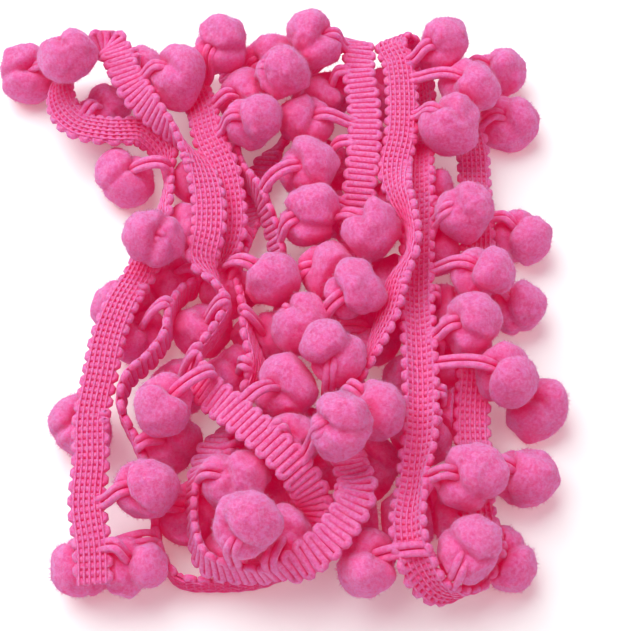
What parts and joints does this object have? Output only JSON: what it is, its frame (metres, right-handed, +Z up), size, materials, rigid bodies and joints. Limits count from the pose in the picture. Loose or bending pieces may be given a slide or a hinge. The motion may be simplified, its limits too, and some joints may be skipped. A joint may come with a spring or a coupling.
{
  "type": "pompom fringe trim, a length gathered into a loose hank",
  "caption": "Woven braid trim with felted pompoms hung from one edge by short looped cords, gathered up and down into a loose hank that lies flat.",
  "frame": {"origin": "middle of the hank's footprint, on the surface it lies on", "axes": "+Y along the passes of the hank, +X across them, +Z up from the surface"},
  "size_m": [0.1163, 0.1246, 0.0314],
  "materials": {
    "yarn": "matte"
  },
  "bodies": {
    "root": {"pompom_trim": "yarn"}
  },
  "joints": []
}
